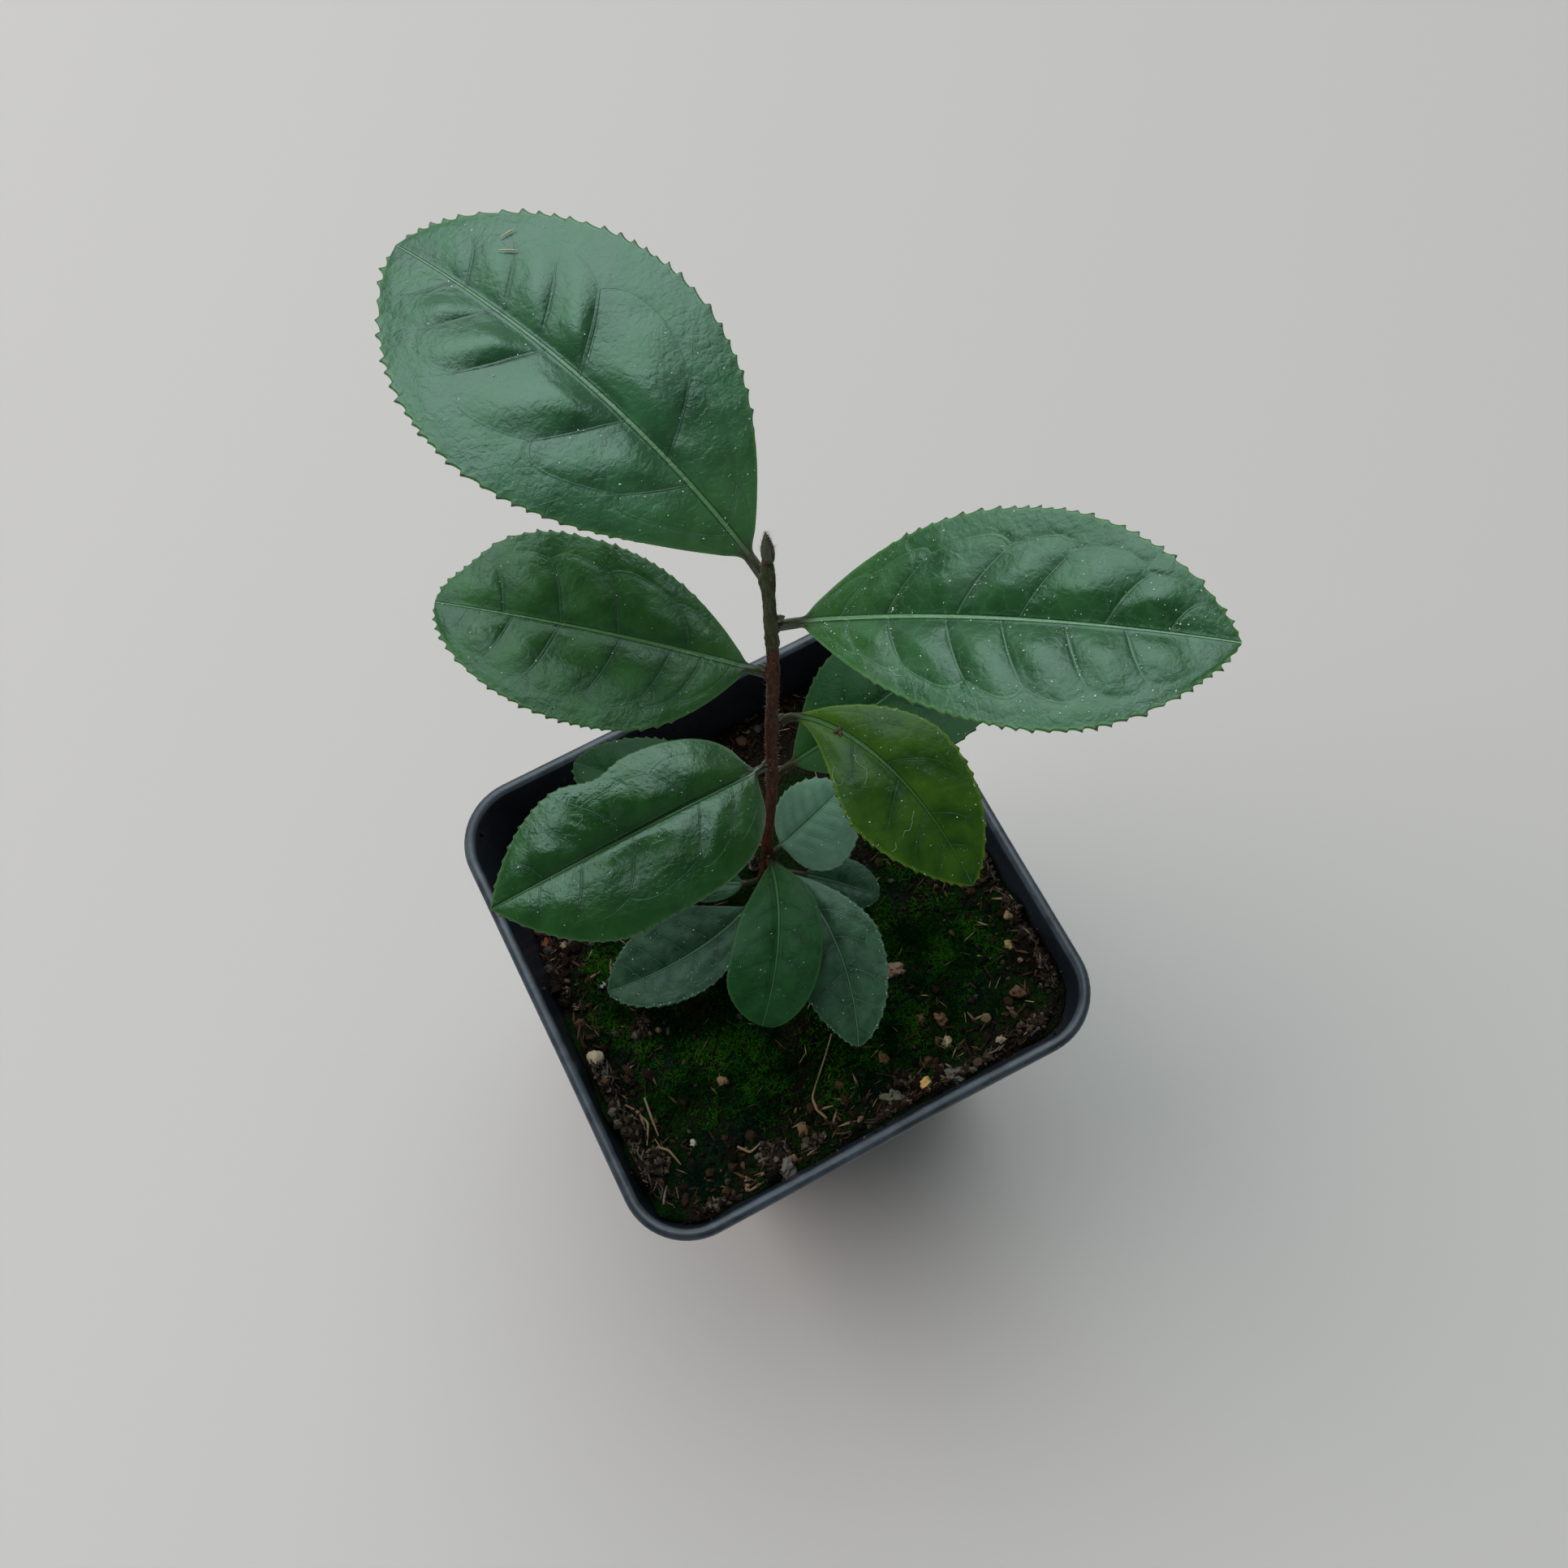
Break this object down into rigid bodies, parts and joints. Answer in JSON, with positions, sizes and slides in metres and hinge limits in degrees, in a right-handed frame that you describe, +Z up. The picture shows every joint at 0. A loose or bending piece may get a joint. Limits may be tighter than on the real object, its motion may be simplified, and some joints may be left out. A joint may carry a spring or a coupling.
{
  "type": "potted tea bush",
  "caption": "Young tea bush with one slim leaning stem, toothed oval leaves and low small leaves, in a tapering square nursery pot.",
  "frame": {"origin": "centre of the pot's flat underside", "axes": "+Z up, +X and +Y along the pot's sides"},
  "size_m": [0.0906, 0.0982, 0.2315],
  "materials": {
    "pot_plastic": "black moulded plastic with a faint sheen, soil dust and water marks near the lip",
    "potting_mix": "damp peat and bark mix under dark green moss, with dry needles and pale granules",
    "dry_wood": "dry weathered cut wood, pale greyish pink",
    "bark": "matt reddish brown young bark, greener near the tip, with fine pale hairs",
    "bud": "silky pale green bud scales",
    "upper_leaf": "glossy deep green leaf, quilted between sunken veins",
    "young_leaf": "glossy yellower green leaf",
    "lower_leaf": "satin dark bluish green leaf"
  },
  "bodies": {
    "root": {"pot": "pot_plastic", "potting_mix": "potting_mix", "old_wood": "dry_wood", "stem": "bark", "tip_bud": "bud", "leaf_top_left": "upper_leaf", "leaf_top_right": "upper_leaf", "leaf_upper_left": "upper_leaf", "leaf_middle_left": "upper_leaf", "leaf_rear_right": "upper_leaf", "leaf_middle_right": "young_leaf", "leaf_rear_left": "lower_leaf", "leaf_low_front": "lower_leaf", "leaf_low_rear_right": "lower_leaf", "leaf_low_front_right": "lower_leaf", "leaf_low_front_left": "lower_leaf", "leaf_low_right": "lower_leaf", "leaf_low_rear_left": "lower_leaf"}
  },
  "joints": []
}
